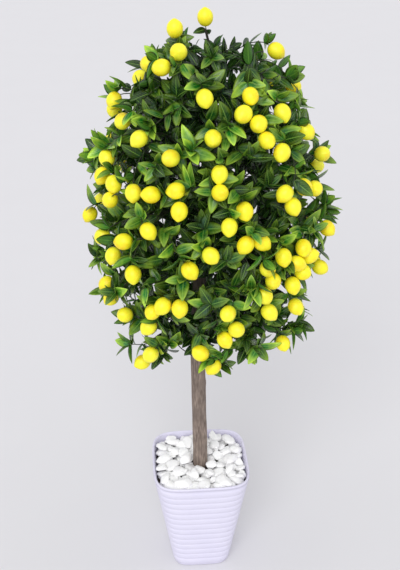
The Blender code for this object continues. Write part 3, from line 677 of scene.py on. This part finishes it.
def waxy_leaf():
    """A citrus leaf: deep green by its midrib, yellow-green to edge and tip, waxy, paler beneath,
    with patches of painted sheen.

    The chance carried on a leaf's points is negative on its underside, and near nought on leaves
    deep in the crown, which then take near-black greens as painted shade.
    """
    surface, tree, place = new_surface("citrus_leaf_waxy")
    carried = add_node(tree, "ShaderNodeAttribute", {}, attribute_name="grain")["Vector"]
    along, across, signed = add_node(tree, "ShaderNodeSeparateXYZ", {0: carried})
    chance_value = add_node(tree, "ShaderNodeMath", {0: signed}, operation="ABSOLUTE")[0]
    out = add_node(tree, "ShaderNodeMath", {0: across}, operation="ABSOLUTE")[0]
    # At a chance near nought both greens are near black: painted shade for the leaves deep in the
    # crown.
    deep = add_node(tree, "ShaderNodeMix", {0: chance_value, 6: to_linear("#051a06"),
                                            7: to_linear("#1d7a22")}, data_type="RGBA")[2]
    pale = add_node(tree, "ShaderNodeMix", {0: chance_value, 6: to_linear("#123c0a"),
                                            7: to_linear("#d2fa50")}, data_type="RGBA")[2]
    # Blotches 16 mm across.
    blotch = add_node(tree, "ShaderNodeTexNoise", {"Vector": place, "Scale": 1.0 / 0.016})["Fac"]
    to_edge = add_node(tree, "ShaderNodeMath", {0: out, 1: 1.7}, operation="POWER")[0]
    to_edge = add_node(tree, "ShaderNodeMath", {0: to_edge, 1: 0.50}, operation="MULTIPLY")[0]
    to_tip = add_node(tree, "ShaderNodeMapRange", {"Value": along, "From Min": 0.40,
                                                   "To Max": 0.85})["Result"]
    blend = add_node(tree, "ShaderNodeMath", {0: to_edge, 1: to_tip}, operation="ADD")[0]
    blend = add_node(tree, "ShaderNodeMath", {0: blotch, 1: 0.9, 2: blend},
                     operation="MULTIPLY_ADD")[0]
    blend = add_node(tree, "ShaderNodeMapRange", {"Value": blend, "From Min": 0.45,
                                                  "From Max": 1.45})["Result"]
    body = add_node(tree, "ShaderNodeMix", {0: blend, 6: deep, 7: pale}, data_type="RGBA")[2]
    # Painted sheen: pale blue-green patches 35 mm across stand in for the leaves' glossy
    # reflection.
    painted_sheen = add_node(tree, "ShaderNodeTexNoise", {"Vector": place, "Scale": 1.0 / 0.035})["Fac"]
    painted_sheen = add_node(tree, "ShaderNodeMapRange", {"Value": painted_sheen, "From Min": 0.58,
                                                  "From Max": 0.76, "To Max": 0.20})["Result"]
    body = add_node(tree, "ShaderNodeMix", {0: painted_sheen, 6: body, 7: to_linear("#6fa088")},
                    data_type="RGBA")[2]
    midrib = add_node(tree, "ShaderNodeMapRange", {"Value": out, "From Min": 0.02, "From Max": 0.10,
                                                   "To Min": 0.5, "To Max": 0.0})["Result"]
    body = add_node(tree, "ShaderNodeMix", {0: midrib, 6: body, 7: to_linear("#8fbf4e")},
                    data_type="RGBA")[2]
    # Side veins about 6 mm apart, eight to a leaf, slanting forward from the midrib.
    slant = add_node(tree, "ShaderNodeMath", {0: out, 1: -1.8}, operation="MULTIPLY")[0]
    slant = add_node(tree, "ShaderNodeMath", {0: along, 1: 8.0, 2: slant},
                     operation="MULTIPLY_ADD")[0]
    wave = add_node(tree, "ShaderNodeMath", {0: slant, 1: 2.0 * np.pi}, operation="MULTIPLY")[0]
    wave = add_node(tree, "ShaderNodeMath", {0: wave}, operation="SINE")[0]
    vein = add_node(tree, "ShaderNodeMapRange", {"Value": wave, "From Min": 0.80})["Result"]
    vein_tint = add_node(tree, "ShaderNodeMath", {0: vein, 1: 0.15}, operation="MULTIPLY")[0]
    body = add_node(tree, "ShaderNodeMix", {0: vein_tint, 6: body, 7: to_linear("#8cbc4c")},
                    data_type="RGBA")[2]
    beneath = add_node(tree, "ShaderNodeMath", {0: signed, 1: 0.0}, operation="LESS_THAN")[0]
    beneath = add_node(tree, "ShaderNodeMath", {0: beneath, 1: 0.40}, operation="MULTIPLY")[0]
    body = add_node(tree, "ShaderNodeMix", {0: beneath, 6: body, 7: to_linear("#5f9c3c")},
                    data_type="RGBA")[2]
    relief = add_node(tree, "ShaderNodeMath", {0: blotch, 1: vein}, operation="SUBTRACT")[0]
    relief = add_node(tree, "ShaderNodeBump", {"Height": relief, "Distance": 0.0005,
                                               "Strength": 0.5})["Normal"]
    shader = add_node(tree, "ShaderNodeBsdfPrincipled", {
        "Base Color": body, "Roughness": 0.25, "IOR": 1.45, "Normal": relief})[0]
    add_node(tree, "ShaderNodeOutputMaterial", {"Surface": shader})
    return surface


def bent_lines(start, lead_out, lead_in, end, count):
    """Points on cubic curves, by the usual blend of four points, for many curves at once."""
    share = np.linspace(0.0, 1.0, count)[None, :, None]
    rest = 1.0 - share
    return (start[:, None] * rest ** 3 + lead_out[:, None] * 3.0 * rest ** 2 * share
            + lead_in[:, None] * 3.0 * rest * share ** 2 + end[:, None] * share ** 3)


def branch_ends(name):
    """A framed branch's foot at the trunk, and a point well inside its outermost leaves."""
    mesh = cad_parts[name].data
    points = np.empty(len(mesh.vertices) * 3)
    mesh.vertices.foreach_get("co", points)
    points = points.reshape(-1, 3)
    reach = np.hypot(points[:, 0] - trunk_lean(points[:, 2]), points[:, 1])
    foot = points[np.argsort(reach)[:4]].mean(axis=0)
    far = points[reach > 0.72 * reach.max()].mean(axis=0)
    return foot, foot + 0.80 * (far - foot)


def leaf_skins(bases, ways, faces, lengths, bends, cups):
    """Pointed leaves: a thin folded lens carried along a bending midrib.

    Half width: half the leaf's width x u^0.55 (1 - u)^0.85 / 0.386, u being 0 at the stalk and 1
    at the tip.  Midrib: base + length x (u x way - bend x u^2 x face).  Section: eight points,
    closed at both edges, the edges lifted by cup x half width x side^1.3.
    """
    u = np.array([0.03, 0.10, 0.20, 0.33, 0.48, 0.64, 0.80, 0.93])
    across = unit(np.cross(faces, ways))
    upper = unit(np.cross(ways, across))
    half = 0.5 * LEAF_WIDTH * lengths[:, None] * u ** 0.55 * (1.0 - u) ** 0.85 / 0.386
    along = np.concatenate([[0.0], u, [1.0]])[:, None]
    bow = bends[:, None, None] * along ** 2 * upper[:, None]
    rib = bases[:, None] + lengths[:, None, None] * (along * ways[:, None] - bow)
    side = np.array([1.0, 0.5, 0.0, -0.5, -1.0, -0.5, 0.0, 0.5])
    lift = np.array([0.0, 0.8, 1.0, 0.8, 0.0, -0.8, -1.0, -0.8]) * 0.5 * LEAF_THICKNESS
    fold = np.abs(side) ** 1.3 * cups[:, None, None] * half[..., None]
    rings = (rib[:, 1:-1, None] + across[:, None, None] * (side * half[..., None])[..., None]
             + upper[:, None, None] * (lift + fold)[..., None])
    grain = np.zeros_like(rings)
    grain[..., 0] = u[:, None]
    grain[..., 1] = side
    grain[..., 2] = np.where(lift < 0.0, -1.0, 1.0)
    return rings, rib[:, 0], rib[:, -1], grain


chance = np.random.default_rng(23)
branch_names = sorted(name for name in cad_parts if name.startswith("branch_"))
ends = np.array([branch_ends(name) for name in branch_names])
feet, tips = ends[:, 0], ends[:, 1]
span = np.linalg.norm(tips - feet, axis=1, keepdims=True)
away = unit((tips - feet) * [1.0, 1.0, 0.0])
stems = bent_lines(feet, feet + unit(away + [0.0, 0.0, 0.35]) * span * 0.4,
                   tips - unit(away - [0.0, 0.0, 0.10]) * span * 0.3, tips, STEM_POINTS)

# Shoots without fruit end a golden turn apart, set by set, and then come the sprigs.
bare_ends = []
for count, first, lowest, rise, share, sway, wave in SHOOT_SETS:
    order = np.arange(count)
    bare_ends.append(in_crown(order * GOLDEN_TURN + first, lowest + rise * (order + 0.5) / count,
                              share + sway * np.sin(wave * order)))
bare_ends.append(in_crown(np.radians(SPRIGS[:, 0]), SPRIGS[:, 1], SPRIGS[:, 2]))
bare_ends = np.concatenate(bare_ends)
bare_axes = unit(unit((bare_ends - [CROWN_SHIFT, 0.0, 0.0]) * [1.0, 1.0, 0.0])
                 + chance.normal(0.0, 0.35, bare_ends.shape) + [0.0, 0.0, 0.30])
shoot_ends = np.concatenate([lemon_middles - lemon_axes * (0.9 * LEMON_HALF_LENGTH), bare_ends])
shoot_axes = np.concatenate([lemon_axes, bare_axes])
shoots = len(shoot_ends)

# Each shoot leaves the stem that passes nearest to a point a little way back from its end.
back = shoot_ends - 0.05 * shoot_axes
back = back - 0.06 * unit((back - [CROWN_SHIFT, 0.0, 0.0]) * [1.0, 1.0, 0.0])
gap = np.linalg.norm(stems[:, None, 2:STEM_POINTS - 2] - back[None, :, None], axis=-1)
host = np.argmin(gap.min(axis=-1), axis=0)
spot = 2 + np.argmin(gap[host, np.arange(shoots)], axis=-1)
roots = stems[host, spot]
root_ways = unit(stems[host, spot + 1] - stems[host, spot - 1])
# The highest shoots leave the leader itself, a little lower than they end.
leader_tip = TRUNK_BENDS[-1, 0]
high = shoot_ends[:, 2] > LEADER_FROM
level = np.minimum(shoot_ends[:, 2] - LEADER_DROP, leader_tip - 0.002)[high]
level[0] = leader_tip - TOP_DROP        # the first lemon is the topmost
roots[high] = np.stack([trunk_lean(level), np.zeros(len(level)), level], axis=-1)
root_ways[high] = [0.0, 0.0, 1.0]
reach = np.linalg.norm(shoot_ends - roots, axis=1, keepdims=True)
shoot_lines = bent_lines(roots, roots + 0.35 * reach * unit(root_ways + unit(shoot_ends - roots)),
                         shoot_ends - shoot_axes * np.minimum(0.4 * reach, 0.045), shoot_ends,
                         SHOOT_POINTS)

# Leaves: a whorl at each shoot's end, and single ones back along it, a golden turn apart.
slots = WHORL + SINGLE
place = np.arange(slots) * np.ones((shoots, 1))
in_whorl = place < WHORL
back_by = np.where(in_whorl, WHORL_BACK + WHORL_STAGGER * (place % 2),
                   SINGLE_BACK + SINGLE_STEP * (place - WHORL))
spin = np.where(in_whorl, place * 2.0 * np.pi / WHORL, place * GOLDEN_TURN)
spin = spin + 2.0 * np.pi * chance.random((shoots, 1)) + chance.normal(0.0, 0.34, (shoots, slots))
tilt = np.where(in_whorl, 1.00, 0.85) + chance.normal(0.0, 0.30, (shoots, slots))
tilt[standing] += 0.75      # the leaves under a standing lemon spread out flat
steps = np.linalg.norm(np.diff(shoot_lines, axis=1), axis=-1)
left = np.concatenate([np.cumsum(steps[:, ::-1], axis=1)[:, ::-1], np.zeros((shoots, 1))], axis=1)
point = np.abs(left[:, None] - back_by[..., None]).argmin(axis=-1)
grown = (back_by < 0.9 * left[:, :1]) & (chance.random((shoots, slots)) > LEAVES_LOST)
own = np.arange(shoots)[:, None]
bases = shoot_lines[own, point]
local = unit(shoot_lines[own, np.minimum(point + 1, SHOOT_POINTS - 1)]
             - shoot_lines[own, np.maximum(point - 1, 0)])
guide = np.where(np.abs(local[..., 2:]) > 0.9, [1.0, 0.0, 0.0], [0.0, 0.0, 1.0])
side = unit(np.cross(guide, local))
radial = side * np.cos(spin)[..., None] + np.cross(local, side) * np.sin(spin)[..., None]
ways = unit(local * np.cos(tilt)[..., None] + radial * np.sin(tilt)[..., None] + [0.0, 0.0, 0.24])
crown_out = unit((bases - [CROWN_SHIFT, 0.0, 1.0]) * [1.0, 1.0, 0.6])
faces = 0.75 * local + 0.55 * crown_out + [0.0, 0.0, 0.45] + chance.normal(0.0, 0.40, bases.shape)
faces[standing] += [0.0, -1.5, 0.0]     # and turn their upper sides to the front
faces = unit(faces)
shortest, longest = LEAF_LENGTH
lengths = shortest + (longest - shortest) * chance.random((shoots, slots))
lengths[high] *= LEADER_LEAF
grown[0, TOP_LEAVES:] = False
lengths[0] = TOP_LEAF_LENGTH

leaf_rings, leaf_low, leaf_high, leaf_grain = leaf_skins(
    bases.reshape(-1, 3), ways.reshape(-1, 3), faces.reshape(-1, 3), lengths.reshape(-1),
    chance.normal(0.14, 0.10, shoots * slots), chance.normal(0.30, 0.12, shoots * slots))
# Leaves deep in the crown get a chance near nought, and so near-black greens, as painted shade of
# the crown's interior. Outer leaves range up to a pale young green.
depth = np.hypot(bases[..., 0] - CROWN_SHIFT, bases[..., 1]) / crown_reach(bases[..., 2])
youth_and_crown_shade = np.clip(2.6 * depth - 1.55, 0.0, 1.0).reshape(-1)
leaf_grain[..., 2] *= (0.02 + 0.98 * youth_and_crown_shade * chance.random(shoots * slots))[:, None, None]

# A leaf that would grow into a lemon or the trunk isn't there.
skin = leaf_rings.reshape(shoots * slots, -1, 3)
to_lemon = np.stack([np.linalg.norm(skin - middle, axis=-1).min(axis=-1)
                     for middle in lemon_middles])
trunk_room = np.interp(skin[..., 2], TRUNK_BENDS[:, 0], 1.06 * TRUNK_BENDS[:, 2] + 0.001)
trunk_room[skin[..., 2] > LEADER_FROM] = 0.0
to_trunk = np.hypot(skin[..., 0] - trunk_lean(skin[..., 2]), skin[..., 1]) - trunk_room
clear = (to_lemon.min(axis=0) > LEMON_CLEAR) & (to_trunk.min(axis=-1) > 0.0)
leaf_host = np.where(grown.reshape(-1) & clear, np.repeat(host, slots), -1)

stem_radii = np.linspace(*STEM_RADII, STEM_POINTS) * np.ones((len(feet), 1))
stem_rings = round_bars(stems, stem_radii, 8)
shoot_radii = np.linspace(*SHOOT_RADII, SHOOT_POINTS) * np.ones((shoots, 1))
shoot_rings = round_bars(shoot_lines, shoot_radii, 6)
wood = green_wood()
leaf_surface = waxy_leaf()
for number, name in enumerate(branch_names):
    one = slice(number, number + 1)
    stem = skins(f"{name}_stem", stem_rings[one], stems[one, 0], stems[one, -1],
                 np.zeros_like(stem_rings[one]), wood)
    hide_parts(name)
    mine = host == number
    if mine.any():
        skins(f"{name}_shoots", shoot_rings[mine], shoot_lines[mine, 0], shoot_lines[mine, -1],
              np.zeros_like(shoot_rings[mine]), wood)
    held = leaf_host == number
    if held.any():
        leaves = skins(f"{name}_leaves", leaf_rings[held], leaf_low[held], leaf_high[held],
                       leaf_grain[held], leaf_surface)
        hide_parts(name)

# ------------------------------------------------------------------ floor, light and camera
# A plain pale studio floor, an even sky, one large soft key from in front and above, a little to
# the left, and a camera a little above the tree that looks down on it.

FLOOR_HALF = 40.0
FLOOR_LEVEL = -0.0005
SKY_COLOUR = (0.98, 0.985, 1.0, 1.0)
SKY_STRENGTH = 0.84
KEY_STRENGTH = 1.62
KEY_WIDTH = np.radians(40.0)
KEY_WAY = (0.18, 0.95, -0.68)       # the way its light travels
EYE = (0.0, -1.866, 1.796)
EYE_DOWN = np.radians(27.06)
EYE_LENS = 54.28


def rolled_paint():
    """Painted studio floor: pale cool grey, matt and even."""
    surface, tree, place = new_surface("studio_paint_rolled")
    # Roller marks 300 mm across.
    mark = add_node(tree, "ShaderNodeTexNoise", {"Vector": place, "Scale": 1.0 / 0.30})["Fac"]
    tone = add_node(tree, "ShaderNodeMix", {0: mark, 6: to_linear("#d8d7da"),
                                            7: to_linear("#dad9dc")}, data_type="RGBA")[2]
    shader = add_node(tree, "ShaderNodeBsdfPrincipled",
                      {"Base Color": tone, "Roughness": 0.9, "Specular IOR Level": 0.1})[0]
    add_node(tree, "ShaderNodeOutputMaterial", {"Surface": shader})
    return surface


floor_mesh = bpy.data.meshes.new("studio_floor")
floor_corners = FLOOR_HALF * np.array([(-1, -1), (1, -1), (1, 1), (-1, 1)])
floor_mesh.from_pydata([(x, y, FLOOR_LEVEL) for x, y in floor_corners.tolist()], [],
                       [(0, 1, 2, 3)])
floor_mesh.materials.append(rolled_paint())
floor = bpy.data.objects.new("studio_floor", floor_mesh)
bpy.context.scene.collection.objects.link(floor)

world = bpy.data.worlds.new("studio_sky")
bpy.context.scene.world = world
world.use_nodes = True
sky = world.node_tree.nodes["Background"]
sky.inputs["Color"].default_value = SKY_COLOUR
sky.inputs["Strength"].default_value = SKY_STRENGTH

key_light = bpy.data.lights.new("key", "SUN")
key_light.energy = KEY_STRENGTH
key_light.angle = KEY_WIDTH
key = bpy.data.objects.new("key", key_light)
key.rotation_euler = Vector(KEY_WAY).to_track_quat("-Z", "Y").to_euler()
bpy.context.scene.collection.objects.link(key)

camera_data = bpy.data.cameras.new("camera")
camera_data.sensor_width = 36.0
camera_data.lens = EYE_LENS
camera = bpy.data.objects.new("camera", camera_data)
camera.location = EYE
camera.rotation_euler = (0.5 * np.pi - EYE_DOWN, 0.0, 0.0)
bpy.context.scene.collection.objects.link(camera)
bpy.context.scene.camera = camera
bpy.context.scene.view_settings.view_transform = "Standard"
